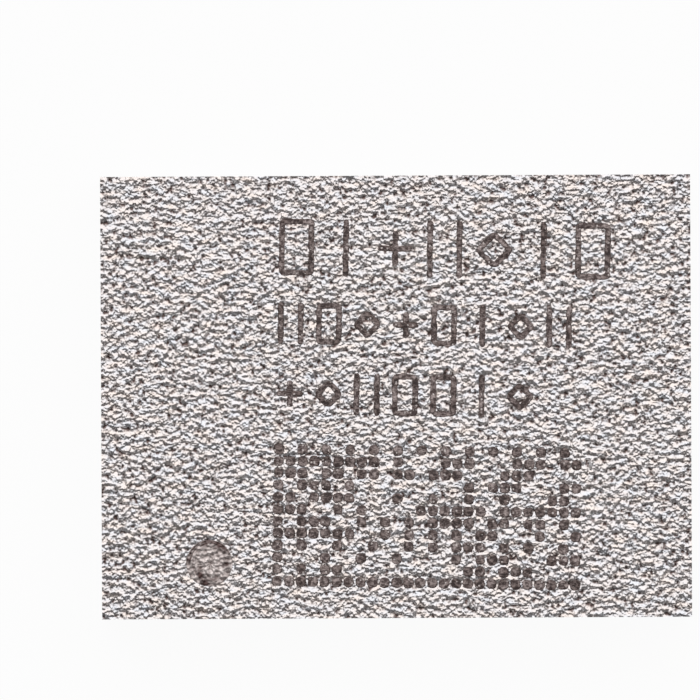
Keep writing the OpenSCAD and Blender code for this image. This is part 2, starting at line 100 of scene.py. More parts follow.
def ramp(tree, value, low, high, start=0.0, end=1.0, **settings):
    """A socket that goes from start to end while the value goes from low to high."""
    inputs = {"Value": value, "From Min": low, "From Max": high, "To Min": start, "To Max": end}
    return add(tree, "ShaderNodeMapRange", inputs, **settings).outputs[0]


def blend(tree, factor, first, second):
    """The colour socket of a mix from the first colour to the second."""
    return add(tree, "ShaderNodeMix", {0: factor, 6: first, 7: second}, data_type="RGBA").outputs[2]


def rays(tree):
    """Two sockets: 1 for rays from the camera, and 1 for rays that come by a gloss or through a glass."""
    ways = add(tree, "ShaderNodeLightPath").outputs
    return ways["Is Camera Ray"], calc(tree, "MAXIMUM", ways["Is Glossy Ray"], ways["Is Transmission Ray"])


def softbox(name, place, size, power):
    """A rectangular lamp at a place, turned to face the package's middle."""
    data = bpy.data.lights.new(name, "AREA")
    data.shape = "RECTANGLE"
    data.size, data.size_y = size
    data.energy = power
    made = bpy.data.objects.new(name, data)
    made.location = place
    made.rotation_euler = Vector(place).to_track_quat("Z", "Y").to_euler()
    bpy.context.scene.collection.objects.link(made)


softbox("key lamp", place=(0.0, 0.068, 0.128), size=(0.25, 0.175), power=0.258)
softbox("fill lamp", place=(0.025, -0.15, 0.125), size=(0.125, 0.075), power=0.005)

CEILING = 0.042
CEILING_COLOUR = (1.0, 0.9, 0.885, 1.0)
BACKDROP = 1.0
BACKDROP_COLOUR = (1.0, 1.0, 1.0, 1.0)
BACKDROP_FADES = (0.25, 0.72)
studio = bpy.data.worlds.new("studio")
studio.use_nodes = True
bpy.context.scene.world = studio
tree = studio.node_tree
camera_ray, bounced_ray = rays(tree)
aim = add(tree, "ShaderNodeSeparateXYZ", {0: add(tree, "ShaderNodeTexCoord").outputs["Generated"]})
low_down = ramp(tree, aim.outputs["Z"], *BACKDROP_FADES, 1.0, 0.0, interpolation_type="SMOOTHSTEP")
seen = calc(tree, "MAXIMUM", camera_ray, calc(tree, "MULTIPLY", bounced_ray, low_down))
air = tree.nodes["Background"].inputs
tree.links.new(blend(tree, seen, CEILING_COLOUR, BACKDROP_COLOUR), air["Color"])
tree.links.new(ramp(tree, seen, 0.0, 1.0, CEILING, BACKDROP), air["Strength"])


# Floor. A plain white sheet. It glows to the camera, wholly so from a few millimetres off, so that only a
# faint shadow stays round the package.
def new_material(name, **shader):
    """A material with one Principled BSDF, its plain values set on the shader's own sockets."""
    made = bpy.data.materials.new(name)
    made.use_nodes = True
    surface = made.node_tree.nodes["Principled BSDF"]
    for key, value in shader.items():
        surface.inputs[key.replace("_", " ")].default_value = value
    return made, made.node_tree, surface


def place_of(tree):
    """The socket of a point's place in the model's frame, in metres."""
    return add(tree, "ShaderNodeTexCoord").outputs["Object"]


def new_mesh(name, points, faces, smooth=True):
    """An object of these points and faces, at the origin."""
    mesh = bpy.data.meshes.new(name)
    mesh.from_pydata(points, [], faces)
    mesh.shade_smooth() if smooth else mesh.shade_flat()
    mesh.validate()
    made = bpy.data.objects.new(name, mesh)
    bpy.context.scene.collection.objects.link(made)
    return made


FLOOR_REACH = 0.25
FLOOR_GLOW = 0.95
GLOW_GROWS_FROM, GLOW_WHOLE_FROM = 3e-3, 9e-3
sheet_corners = FLOOR_REACH * np.array([(-1, -1, 0), (1, -1, 0), (1, 1, 0), (-1, 1, 0)])
floor = new_mesh("floor", sheet_corners, [(0, 1, 2, 3)], smooth=False)
white, tree, surface = new_material("white sheet", Base_Color=(0.85, 0.85, 0.85, 1.0), Roughness=0.9)
away = add(tree, "ShaderNodeVectorMath", {0: place_of(tree)}, operation="LENGTH").outputs["Value"]
glow_share = ramp(
    tree, away, GLOW_GROWS_FROM, GLOW_WHOLE_FROM, FLOOR_GLOW, 1.0, interpolation_type="SMOOTHSTEP"
)
shown = calc(tree, "MULTIPLY", calc(tree, "MAXIMUM", *rays(tree)), glow_share)
glow = add(tree, "ShaderNodeEmission", {"Color": (1.0, 1.0, 1.0, 1.0), "Strength": 1.0})
both = add(tree, "ShaderNodeMixShader", {0: shown, 1: surface.outputs[0], 2: glow.outputs[0]})
tree.links.new(both.outputs[0], tree.nodes["Material Output"].inputs["Surface"])
floor.data.materials.append(white)


# Laminate. A brown board of resin, glass cloth and copper, sawn flush with the mould over it. Its border,
# specked with glass, shows round the solder mask on the underside. In the narrow moats that the mask leaves
# round the pads its colour is painted darker, as shade in those recesses. Other pieces share the shader
# groups of its grain and specks.
def new_group(name, **inputs):
    """A shader group with the named float or vector inputs and one output, Mask."""
    made = bpy.data.node_groups.new(name, "ShaderNodeTree")
    for key, value in inputs.items():
        kind = "NodeSocketVector" if isinstance(value, tuple) else "NodeSocketFloat"
        made.interface.new_socket(key, in_out="INPUT", socket_type=kind).default_value = value
    made.interface.new_socket("Mask", in_out="OUTPUT", socket_type="NodeSocketFloat")
    return made, add(made, "NodeGroupInput").outputs, add(made, "NodeGroupOutput").inputs["Mask"]


grain_group, given, result = new_group(
    "grain", Scale=30000.0, Stretch=(1.0, 1.0, 1.0), Detail=1.0, Low=0.35, High=0.65
)
inputs = {0: place_of(grain_group), 1: given["Stretch"]}
stretched = add(grain_group, "ShaderNodeVectorMath", inputs, operation="MULTIPLY").outputs[0]
inputs = {"Vector": stretched, "Scale": given["Scale"], "Detail": given["Detail"]}
noise = add(grain_group, "ShaderNodeTexNoise", inputs).outputs["Fac"]
grain_group.links.new(ramp(grain_group, noise, given["Low"], given["High"]), result)

speck_group, given, result = new_group("specks", Scale=15000.0, Size=0.2, Share=0.2)
inputs = {"Vector": place_of(speck_group), "Scale": given["Scale"]}
cells = add(speck_group, "ShaderNodeTexVoronoi", inputs).outputs
near_middle = calc(speck_group, "LESS_THAN", cells["Distance"], given["Size"])
cell_draw = add(speck_group, "ShaderNodeSeparateXYZ", {0: cells["Color"]}).outputs[0]
cell_chosen = calc(speck_group, "LESS_THAN", cell_draw, given["Share"])
speck_group.links.new(calc(speck_group, "MULTIPLY", near_middle, cell_chosen), result)

MOATS_END_X = 1.862e-3
MOATS_END_Y = 1.362e-3
past_group, given, result = new_group("past the pads", From=-6e-6, To=14e-6)
place = add(past_group, "ShaderNodeSeparateXYZ", {0: place_of(past_group)}).outputs
past_x = calc(past_group, "SUBTRACT", calc(past_group, "ABSOLUTE", place["X"]), MOATS_END_X)
past_y = calc(past_group, "SUBTRACT", calc(past_group, "ABSOLUTE", place["Y"]), MOATS_END_Y)
farther = calc(past_group, "MAXIMUM", past_x, past_y)
past_group.links.new(ramp(past_group, farther, given["From"], given["To"]), result)


def mask(tree, group, **values):
    """The Mask socket of one placed group, with its inputs given values."""
    made = add(tree, "ShaderNodeGroup", node_tree=group)
    for key, value in values.items():
        made.inputs[key].default_value = value
    return made.outputs["Mask"]


def linear(red, green, blue):
    """A colour as 0 to 255 on a screen, as the linear red, green, blue and alpha that a socket takes."""
    screen = np.array([red, green, blue]) / 255
    light = np.where(screen <= 0.04045, screen / 12.92, ((screen + 0.055) / 1.055) ** 2.4)
    return (*light, 1.0)


def painted(tree, surface, colour):
    """Joins a colour socket to the surface."""
    tree.links.new(colour, surface.inputs["Base Color"])


def bumped(tree, surface, height, depth):
    """Joins a height socket to the surface's normal, as a bump of the given depth in metres."""
    bump = add(tree, "ShaderNodeBump", {"Height": height, "Distance": depth, "Strength": 1.0})
    tree.links.new(bump.outputs[0], surface.inputs["Normal"])


def dress(material, *names):
    """Gives CAD nodes this material."""
    for name in names:
        nodes[name].data.materials.clear()
        nodes[name].data.materials.append(material)


board, tree, surface = new_material("laminate board", Roughness=0.6, Specular_IOR_Level=0.15)
weave = mask(tree, grain_group, Scale=26000.0, Detail=5.0)
glass = mask(tree, speck_group, Scale=40000.0, Size=0.28, Share=0.1)
brown = blend(tree, weave, linear(132, 85, 47), linear(169, 114, 68))
specked = blend(tree, glass, brown, linear(196, 160, 118))
out_of_moat_shade = mask(tree, past_group, From=-6e-6, To=14e-6)
# Painted shade: the laminate is coloured dark brown inside the moats round the pads, where shade falls.
painted(tree, surface, blend(tree, out_of_moat_shade, linear(58, 45, 29), specked))
bumped(tree, surface, mask(tree, grain_group, Scale=60000.0, Detail=2.0), depth=1.5e-6)
dress(board, "laminate")


# Solder mask. A dark green film, printed over both sides of the laminate and opened round every pad. The
# one below is a rounded copy of its solid, whose edges catch the light, and its fingers' ends have a pale
# lip painted on as a highlight.
def rounded(name, node, width, *coats):
    """A merged copy of a CAD node's mesh that stands in for it, with its sharp edges rounded by this width,
    or by less all over the piece if its short edges leave no room. The last of its materials goes on the
    rounding."""
    mesh = nodes[node].data.copy()
    shape = bmesh.new()
    shape.from_mesh(mesh)
    bmesh.ops.remove_doubles(shape, verts=shape.verts, dist=1e-8)
    bmesh.ops.dissolve_limit(shape, angle_limit=1e-3, verts=shape.verts, edges=shape.edges)
    shape.to_mesh(mesh)
    shape.free()
    mesh.materials.clear()
    for coat in coats:
        mesh.materials.append(coat)
    made = bpy.data.objects.new(name, mesh)
    bpy.context.scene.collection.objects.link(made)
    bevel = made.modifiers.new("rounding", "BEVEL")
    bevel.width = width
    bevel.segments = 2
    bevel.angle_limit = np.radians(50)
    bevel.material = len(coats) - 1
    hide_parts(node)
    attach(made, "root")
    return made


def mask_film(name):
    """A dark green printed film, cloudy and sparsely specked, with its tree, surface and colour socket."""
    made, tree, surface = new_material(name, Roughness=0.5, Specular_IOR_Level=0.08)
    cloud = mask(tree, grain_group, Scale=26000.0, Detail=5.0)
    dust = mask(tree, speck_group, Scale=60000.0, Size=0.25, Share=0.1)
    green = blend(tree, cloud, linear(1, 38, 34), linear(4, 62, 56))
    bumped(tree, surface, mask(tree, grain_group, Scale=50000.0, Detail=2.0), depth=0.8e-6)
    return made, tree, surface, blend(tree, dust, green, linear(18, 78, 66))


upper_film, tree, surface, green = mask_film("upper solder mask")
painted(tree, surface, green)
dress(upper_film, "upper_mask")

FILM_ROUND = 3e-6
lower_film, tree, surface, green = mask_film("lower solder mask")
lip = mask(tree, past_group, From=-1e-6, To=4e-6)
# Painted highlight: a pale band at the fingers' ends, past the pads, stands in for light caught on the lip.
painted(tree, surface, blend(tree, lip, green, linear(138, 142, 130)))
dress(lower_film, "lower_mask")
comb = rounded("lower_mask_film", "lower_mask", FILM_ROUND, lower_film)


# Terminals and ground pads. Etched copper, plated with nickel and a thin granular gold, which is smoother
# where it turns over each pad's rim. There its colour is a paler gold, a painted highlight.
def grained(name, dark, light, scale, depth, stretch=(1.0, 1.0, 1.0), detail=2.0, **shader):
    """A material whose colour and bump follow one grain, from dark in its hollows to light on its crests."""
    made, tree, surface = new_material(name, **shader)
    grain = mask(tree, grain_group, Scale=scale, Stretch=stretch, Detail=detail)
    painted(tree, surface, blend(tree, grain, dark, light))
    bumped(tree, surface, grain, depth)
    return made


PAD_ROUND = 10e-6
GOLD_DARK, GOLD_LIGHT = linear(144, 116, 86), linear(210, 183, 149)
# Painted highlight: the pads' rounded rims get a paler gold than the pads, for the light they catch.
RIM_HIGHLIGHT_DARK, RIM_HIGHLIGHT_LIGHT = linear(228, 204, 176), linear(248, 230, 208)
gold = grained("gold plate", GOLD_DARK, GOLD_LIGHT, 60000.0, 2.2e-6, detail=1.5, Metallic=0.8, Roughness=0.5)
rim_highlight_gold = grained("gold rim painted highlight", RIM_HIGHLIGHT_DARK, RIM_HIGHLIGHT_LIGHT, 50000.0, 0.6e-6, Metallic=0.8, Roughness=0.45)
pads = ("ground_pads", "thermal_ground", *(n for n in nodes if n.startswith("terminal_")))
dress(gold, *pads)
for name in pads:
    plated = rounded(name + "_plated", name, PAD_ROUND, gold, rim_highlight_gold)

# Copper lands. They are etched from the foil on the laminate's top. Wires, bumps and chip parts are joined
# to them through the windows of the upper mask.
COPPER_DARK, COPPER_LIGHT = linear(150, 84, 52), linear(216, 142, 104)
copper = grained("etched copper", COPPER_DARK, COPPER_LIGHT, 50000.0, 1e-6, Metallic=0.9, Roughness=0.45)
dress(copper, "top_lands")

# Amplifier die. Gallium arsenide, polished on top, stuck to its copper flag with silver filled epoxy, and
# wired to the lands with drawn gold.
DIE_DARK, DIE_LIGHT = linear(70, 72, 84), linear(98, 100, 112)
arsenide = grained("gallium arsenide", DIE_DARK, DIE_LIGHT, 8000.0, 0.2e-6, Metallic=0.3, Roughness=0.25)
dress(arsenide, "amplifier_die")
EPOXY_DARK, EPOXY_LIGHT = linear(160, 160, 162), linear(214, 214, 214)
epoxy = grained("silver epoxy", EPOXY_DARK, EPOXY_LIGHT, 70000.0, 1.5e-6, Metallic=0.6, Roughness=0.5)
dress(epoxy, "die_attach")
WIRE_DARK, WIRE_LIGHT = linear(206, 158, 70), linear(240, 196, 104)
wire = grained("gold wire", WIRE_DARK, WIRE_LIGHT, 60000.0, 0.3e-6, Metallic=1.0, Roughness=0.22)
dress(wire, "bond_wires")

# Controller and antenna switch. Silicon flip chips, ground flat on the back, which stand face down on plated
# copper bumps tipped with solder.
GROUND_DARK, GROUND_LIGHT = linear(74, 77, 86), linear(104, 108, 118)
GROUND_STRETCH = (1.0, 14.0, 1.0)
silicon = grained(
    "ground silicon", GROUND_DARK, GROUND_LIGHT, 9000.0, 0.4e-6, GROUND_STRETCH, Metallic=0.35, Roughness=0.3
)
dress(silicon, "controller_die", "switch_die")
BUMP_DARK, BUMP_LIGHT = linear(176, 132, 96), linear(214, 170, 134)
bump_metal = grained("bump copper", BUMP_DARK, BUMP_LIGHT, 60000.0, 0.6e-6, Metallic=0.9, Roughness=0.35)
dress(bump_metal, *(n for n in nodes if n.endswith("_bumps")))

# Send and receive filters. Blocks of ground crystal, each sealed under its cap and stood on bumps like the
# other flip chips.
CRYSTAL_DARK, CRYSTAL_LIGHT = linear(172, 176, 182), linear(206, 210, 214)
crystal = grained("filter crystal", CRYSTAL_DARK, CRYSTAL_LIGHT, 20000.0, 0.6e-6, Roughness=0.3)
dress(crystal, "send_filter", "receive_filter")

# Chip capacitors and inductors. Fired ceramic blocks whose ends are dipped and plated with tin, each end
# held by a soldered joint with its fillet.
PALE_DARK, PALE_LIGHT = linear(150, 120, 88), linear(182, 152, 118)
pale_ceramic = grained("capacitor ceramic", PALE_DARK, PALE_LIGHT, 40000.0, 1e-6, Roughness=0.5)
dress(pale_ceramic, *(n for n in nodes if n.endswith("_capacitor")))
BLUE_DARK, BLUE_LIGHT = linear(38, 62, 84), linear(60, 88, 112)
blue_ceramic = grained("inductor ceramic", BLUE_DARK, BLUE_LIGHT, 40000.0, 1e-6, Roughness=0.42)
dress(blue_ceramic, *(n for n in nodes if n.endswith("_inductor")))
TIN_DARK, TIN_LIGHT = linear(176, 176, 172), linear(216, 216, 212)
tin = grained("plated tin", TIN_DARK, TIN_LIGHT, 45000.0, 1e-6, Metallic=0.95, Roughness=0.35)
dress(tin, *(n for n in nodes if n.endswith("_ends")))
SOLDER_DARK, SOLDER_LIGHT = linear(150, 152, 156), linear(200, 202, 204)
solder = grained("soft solder", SOLDER_DARK, SOLDER_LIGHT, 30000.0, 0.8e-6, Metallic=0.95, Roughness=0.25)
dress(solder, "solder_joints")

# Mould. Black epoxy, filled with fine silica and cast round everything on the laminate. The shield covers
# its top and sides, so its filler shows only with the shield off.
compound, tree, surface = new_material("moulding compound", Roughness=0.6)
filler = mask(tree, speck_group, Scale=30000.0, Size=0.3, Share=0.3)
cast = blend(tree, mask(tree, grain_group, Scale=40000.0, Detail=3.0), linear(34, 33, 35), linear(52, 50, 52))
painted(tree, surface, blend(tree, filler, cast, linear(78, 76, 78)))
bumped(tree, surface, filler, depth=1e-6)
dress(compound, "mould")


# Laser marks. The beam has melted the shield smooth and dark: three rows of plain signs, a dot code and a
# round pin one mark. They lie a few thousandths of a millimetre deep in the shield, and stand in for the
# coarser ones of the part's source.
def blurred_noise(rows, columns, pitch, reach, seed):
    """Seeded white noise times exp(-2 (pi f reach)^2) in frequency, which blurs it by reach along (y, x), at
    unit deviation. It closes on itself along both ways."""
    noise = np.random.default_rng(seed).standard_normal((rows, columns))
    fy, fx = np.fft.fftfreq(rows, pitch[0])[:, None], np.fft.fftfreq(columns, pitch[1])[None, :]
    window = np.exp(-2 * (np.pi * fy * reach[0]) ** 2 - 2 * (np.pi * fx * reach[1]) ** 2)
    field = np.fft.ifft2(np.fft.fft2(noise) * window).real
    return (field - field.mean()) / field.std()


def grid_quads(rows, columns, wrap_rows=False, wrap_columns=False):
    """The quads of a grid of points numbered row by row, joined from last to first where it wraps."""
    quad_rows = np.arange(rows if wrap_rows else rows - 1)
    quad_columns = np.arange(columns if wrap_columns else columns - 1)
    r, c = np.meshgrid(quad_rows, quad_columns, indexing="ij")
    up, right = (r + 1) % rows, (c + 1) % columns
    corners = [r * columns + c, r * columns + right, up * columns + right, up * columns + c]
    return np.stack(corners, -1).reshape(-1, 4)


def carry(made, name, values):
    """Stores one value per point on a new piece, for its material to read."""
    stored = made.data.attributes.new(name, "FLOAT", "POINT")
    stored.data.foreach_set("value", np.asarray(values, np.float32).ravel())


MARK_TURN = np.radians(-1.08)
MARK_TOP = shield_high.z - 0.6e-6
MARK_BED = shield_high.z - 5e-6
STROKE_W = 42e-6
STROKE_SECTION = np.array(
    [(-1.0, 0.0), (-0.92, 0.7), (-0.6, 1.0), (0.0, 0.94), (0.6, 1.0), (0.92, 0.7), (1.0, 0.0)]
)
STROKE_BRIM = np.array([1.0, 0.7, 0.25, 0.0, 0.25, 0.7, 1.0])
STROKE_BLUNT = 0.03
STEP = 6e-6
END_STEPS = 5
END_FROM = 0.25
CORNER_STEPS = 3
WANDER = 0.1
WANDER_REACH = 7e-6
SIGN_SHAPE = 0.62
SIGN_LEFT = 810e-6
DIAMOND_INSET = 0.3

# Each row's middle, its signs' height and spacing, and their kinds: 0 an open square, 1 a bar, 2 a plus,
# 3 two bars and 4 an open diamond
SIGN_ROWS = (
    (1005e-6, 389e-6, 335e-6, (0, 1, 2, 3, 4, 1, 0)),
    (488e-6, 285e-6, 260e-6, (3, 0, 4, 2, 0, 1, 4, 3)),
    (12.5e-6, 290e-6, 260e-6, (2, 4, 3, 0, 0, 1, 4)),
)


def turned(points):
    """Points (x, y) turned by MARK_TURN about the package's middle."""
    cos, sin = np.cos(MARK_TURN), np.sin(MARK_TURN)
    return points @ np.array([[cos, sin], [-sin, cos]])


def line(start, end):
    """Points from start to end, close together at both ends as 1 - cos, so that round ends come out round."""
    start, end = np.array(start), np.array(end)
    length, half = np.linalg.norm(end - start), STROKE_W / 2
    ends = half * (1 - np.cos(np.linspace(END_FROM, np.pi / 2, END_STEPS)))
    middle = np.linspace(half, length - half, int((length - 2 * half) / STEP) + 2)
    along = np.concatenate([ends, middle[1:-1], length - ends[::-1]])
    return start + (end - start) * (along / length)[:, None]


def loop(corners):
    """Even points round a closed outline, each averaged with its neighbours, which rounds the corners."""
    corners = np.array(corners)
    sides = []
    for a, b in zip(corners, np.roll(corners, -1, 0)):
        count = int(np.linalg.norm(b - a) / STEP)
        sides.append(a + (b - a) * (np.arange(count) / count)[:, None])
    path = np.concatenate(sides)
    spread = range(-CORNER_STEPS, CORNER_STEPS + 1)
    return sum(np.roll(path, k, 0) for k in spread) / len(spread)


def sign_paths(kind, height):
    """The centre lines of a sign of this kind about its own middle, each with whether it closes."""
    wide = SIGN_SHAPE * height
    x, y = (wide - STROKE_W) / 2, (height - STROKE_W) / 2
    arm, tall = wide / 2, height / 2
    if kind == 0:
        return [(loop([(-x, -y), (x, -y), (x, y), (-x, y)]), True)]
    if kind == 1:
        return [(line((0, -tall), (0, tall)), False)]
    if kind == 2:
        return [(line((0, -arm), (0, arm)), False), (line((-arm, 0), (arm, 0)), False)]
    if kind == 3:
        return [(line((side * x, -tall), (side * x, tall)), False) for side in (-1, 1)]
    reach = arm - STROKE_W * DIAMOND_INSET
    return [(loop([(-reach, 0), (0, -reach), (reach, 0), (0, reach)]), True)]


def stroke(path, closed, seed):
    """A shallow ribbon along a path: at each point the section's offsets times the half width run along the
    path's left normal, and its heights from MARK_BED to MARK_TOP. Each side's width wanders a little, and
    an open path's half width falls towards its ends as sqrt(1 - d^2), which rounds them."""
    count = len(path)
    ahead = np.roll(path, -1, 0) - np.roll(path, 1, 0) if closed else np.gradient(path, axis=0)
    ahead /= np.linalg.norm(ahead, axis=1)[:, None]
    left = np.stack([-ahead[:, 1], ahead[:, 0]], -1)
    half = np.full(count, STROKE_W / 2)
    if not closed:
        gone = np.linalg.norm(path - path[0], axis=1)
        end_gap = np.minimum(gone, gone[-1] - gone) + STROKE_BLUNT * STROKE_W / 2
        shut = np.clip(1 - end_gap / (STROKE_W / 2), 0, 1)
        half = half * np.sqrt(1 - shut**2)
    wander = 1 + WANDER * blurred_noise(2, max(count, 4), (1.0, STEP), (0.0, WANDER_REACH), seed)[:, :count]
    offset, rise = STROKE_SECTION.T
    reach = half[:, None] * offset * np.where(offset < 0, wander[0][:, None], wander[1][:, None])
    flat = path[:, None, :] + left[:, None, :] * reach[..., None]
    z = MARK_BED + (MARK_TOP - MARK_BED) * rise * np.ones((count, 1))
    points = np.concatenate([flat, z[..., None]], -1).reshape(-1, 3)
    columns = len(offset)
    quads = grid_quads(count, columns, wrap_rows=closed, wrap_columns=True)[:, ::-1].tolist()
    if not closed:
        quads += [list(range(columns)), list(range(count * columns - 1, (count - 1) * columns - 1, -1))]
    return points, quads


points, faces, centre_lines = [], [], []
first = 0
for row_y, height, spacing, kinds in SIGN_ROWS:
    for place_in_row, kind in enumerate(kinds):
        middle = np.array([SIGN_SHAPE * height / 2 - SIGN_LEFT + spacing * place_in_row, row_y])
        for path, closed in sign_paths(kind, height):
            path = turned(path + middle)
            ribbon, quads = stroke(path, closed, seed=len(centre_lines))
            points.append(ribbon)
            faces += [[first + corner for corner in face] for face in quads]
            first += len(ribbon)
            centre_lines.append(path)
signs = new_mesh("laser_signs", np.concatenate(points), faces)
carry(signs, "brim", np.tile(STROKE_BRIM, first // len(STROKE_BRIM)))

CODE_COLUMNS, CODE_ROWS = 26, 12
CODE_MIDDLE = np.array([220.7e-6, -812.4e-6])
DOT_PITCH = np.array([80.8e-6, 81.5e-6])
DOT_D = 66e-6
DOT_GROWTH = (1.04, 1.13)
DOT_POWER = 3.2
DOT_UNEVEN = 0.06
DOT_SEED = 5
SUM_DEVIATION = 1.7
DOT_ANGLES = 16
DOT_RINGS = np.array([(1.0, 0.0), (0.96, 0.65), (0.75, 1.0), (0.25, 0.92)])
DOT_BRIM = np.array([0.9, 0.6, 0.15, 0.0])


def dot_marked(i, j):
    """Whether the cell in column i and row j is marked. Inside a plain frame that is a generic scatter: the
    cells where a quadratic of i and j, modulo 97, is even."""
    scatter = (31 * i * i + 17 * j * j + 23 * i * j + 7 * i + 5 * j) % 97 % 2 == 0
    far = np.where(j == CODE_ROWS - 1, i % 2 == 0, np.where(i == CODE_COLUMNS - 1, j % 2 == 0, scatter))
    return (i == 0) | (j == 0) | far


def dots():
    """Rounded squares r = (|cos|^p + |sin|^p)^(-1/p), with p DOT_POWER, round every marked cell's middle, as
    rings that rise from MARK_BED. Each radius is uneven by DOT_UNEVEN times the sum of three neighbouring
    draws over SUM_DEVIATION, and the whole dot grows by one draw from DOT_GROWTH."""
    i, j = np.meshgrid(np.arange(CODE_COLUMNS), np.arange(CODE_ROWS), indexing="ij")
    cells = np.stack([i - (CODE_COLUMNS - 1) / 2, j - (CODE_ROWS - 1) / 2], -1)[dot_marked(i, j)]
    middles = turned(CODE_MIDDLE + DOT_PITCH * cells)
    angle = np.arange(DOT_ANGLES) * 2 * np.pi / DOT_ANGLES + MARK_TURN
    square = (np.abs(np.cos(angle)) ** DOT_POWER + np.abs(np.sin(angle)) ** DOT_POWER) ** (-1 / DOT_POWER)
    rng = np.random.default_rng(DOT_SEED)
    uneven = rng.standard_normal((len(middles), DOT_ANGLES))
    uneven = 1 + DOT_UNEVEN * (uneven + np.roll(uneven, 1, 1) + np.roll(uneven, -1, 1)) / SUM_DEVIATION
    radius = DOT_D / 2 * square * uneven * rng.uniform(*DOT_GROWTH, (len(middles), 1))
    reach = DOT_RINGS[:, 0][None, :, None] * radius[:, None, :]
    x = middles[:, 0][:, None, None] + reach * np.cos(angle)
    y = middles[:, 1][:, None, None] + reach * np.sin(angle)
    z = MARK_BED + (MARK_TOP - MARK_BED) * DOT_RINGS[:, 1][None, :, None] * np.ones_like(x)
    rings = len(DOT_RINGS)
    quads = grid_quads(rings, DOT_ANGLES, wrap_columns=True)
    starts = np.arange(len(middles)) * rings * DOT_ANGLES
    around = np.arange(DOT_ANGLES)
    faces = (starts[:, None, None] + quads).reshape(-1, 4).tolist()
    faces += (starts[:, None] + around[::-1]).tolist()
    faces += (starts[:, None] + (rings - 1) * DOT_ANGLES + around).tolist()
    return np.stack([x, y, z], -1).reshape(-1, 3), faces, middles


dot_points, dot_faces, dot_middles = dots()
code = new_mesh("laser_dot_code", dot_points, dot_faces)
carry(code, "brim", np.tile(np.repeat(DOT_BRIM, DOT_ANGLES), len(dot_middles)))

PIN_MARK_D = 318e-6
PIN_MARK_AT = np.array([shield_low.x + 728e-6, shield_low.y + 378e-6])
PIN_RINGS, PIN_ANGLES = 48, 144
PIN_STEP = (3.1e-6, 5e-6)
OUTER_SHARE, INNER_SHARE = 0.985, 0.015
MOTTLE_REACH = (6e-6, 9e-6)
MOTTLE_RISE = 0.6e-6
ARC_COUNT, ARC_WAVER = 8.5, 0.25
ARCS_FROM, ARCS_FADE = 0.55, 0.2
ARCS_AT = np.radians(135)
BAND_AT = np.radians(72)
BAND_SHARE, BAND_WIDTH = 0.88, 0.14
BLOT_DEPTH = 0.8e-6
SOOT_PLAIN, SOOT_MOTTLE, SOOT_ARCS, SOOT_BLOTS, SOOT_BAND = 0.16, 0.2, 0.35, 0.9, 0.8

# Each dark blot's distance from the disc's middle as a share of its radius, its angle in degrees, and its
# size as a share too
BLOTS = ((0.86, -97, 0.27), (0.69, -5, 0.17), (0.61, -129, 0.16), (0.86, 170, 0.1))

# The disc's soot is a mottle, with fine arcs and a band near the rim that fade as powers of the cosine from
# their angles, and the blots as Gaussians
share = np.concatenate([[1.0], np.linspace(OUTER_SHARE, INNER_SHARE, PIN_RINGS - 1)])[:, None]
angle = (np.arange(PIN_ANGLES) * 2 * np.pi / PIN_ANGLES)[None, :]
disc_x, disc_y = share * np.cos(angle), share * np.sin(angle)
mottle = blurred_noise(PIN_RINGS, PIN_ANGLES, PIN_STEP, MOTTLE_REACH, seed=21)
near_rim = np.clip((share - ARCS_FROM) / ARCS_FADE, 0, 1) * (0.5 + 0.5 * np.cos(angle - ARCS_AT)) ** 2
arcs = np.sin(2 * np.pi * (share * ARC_COUNT + ARC_WAVER * mottle)) * near_rim
blots = 0
for at, turn, size in BLOTS:
    blot_x, blot_y = at * np.cos(np.radians(turn)), at * np.sin(np.radians(turn))
    blots = blots + np.exp(-((disc_x - blot_x) ** 2 + (disc_y - blot_y) ** 2) / size**2)
band = np.exp(-(((share - BAND_SHARE) / BAND_WIDTH) ** 2)) * (0.5 + 0.5 * np.cos(angle - BAND_AT)) ** 4
soot_share = SOOT_PLAIN + SOOT_MOTTLE * mottle + SOOT_ARCS * arcs + SOOT_BLOTS * blots + SOOT_BAND * band
disc_z = MARK_TOP + MOTTLE_RISE * mottle.clip(-2, 1) - BLOT_DEPTH * blots.clip(0, 1)
disc_z[0] = MARK_BED
rings = np.stack(
    [PIN_MARK_AT[0] + PIN_MARK_D / 2 * disc_x, PIN_MARK_AT[1] + PIN_MARK_D / 2 * disc_y, disc_z], -1
)
around = np.arange(PIN_ANGLES)
faces = grid_quads(PIN_RINGS, PIN_ANGLES, wrap_columns=True).tolist()
faces += [around[::-1].tolist(), ((PIN_RINGS - 1) * PIN_ANGLES + around).tolist()]
pin_mark = new_mesh("laser_pin_one_mark", rings.reshape(-1, 3), faces)
carry(pin_mark, "soot", soot_share.clip(0, 1))

burnt, tree, surface = new_material("lasered metal", Metallic=0.3, Roughness=0.5)
soot = mask(tree, grain_group, Scale=42000.0, Detail=1.0, Low=0.36, High=0.66)
bead = mask(tree, speck_group, Scale=52000.0, Size=0.38, Share=0.16)
burn = mask(tree, grain_group, Scale=11000.0, Detail=0.5, Low=0.38, High=0.62)
hollow_brown = blend(tree, burn, linear(50, 37, 35), linear(80, 65, 63))
crest_brown = blend(tree, burn, linear(132, 116, 112), linear(180, 165, 162))
beaded = blend(tree, bead, blend(tree, soot, hollow_brown, crest_brown), linear(206, 196, 193))
brim = add(tree, "ShaderNodeAttribute", attribute_name="brim").outputs["Fac"]
painted(tree, surface, blend(tree, brim, beaded, linear(74, 58, 55)))
bumped(tree, surface, soot, depth=8e-6)

scuff, tree, surface = new_material("scuffed metal", Metallic=0.7, Roughness=0.4)
scratch = mask(tree, grain_group, Scale=29000.0, Detail=1.0, Low=0.25, High=0.75)
clean = blend(tree, scratch, linear(134, 121, 118), linear(232, 222, 219))
sooted = add(tree, "ShaderNodeAttribute", attribute_name="soot").outputs["Fac"]
painted(tree, surface, blend(tree, sooted, clean, linear(74, 56, 54)))
bumped(tree, surface, scratch, depth=10e-6)

for made, material in ((signs, burnt), (code, burnt), (pin_mark, scuff)):
    made.data.materials.append(material)
    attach(made, "root")

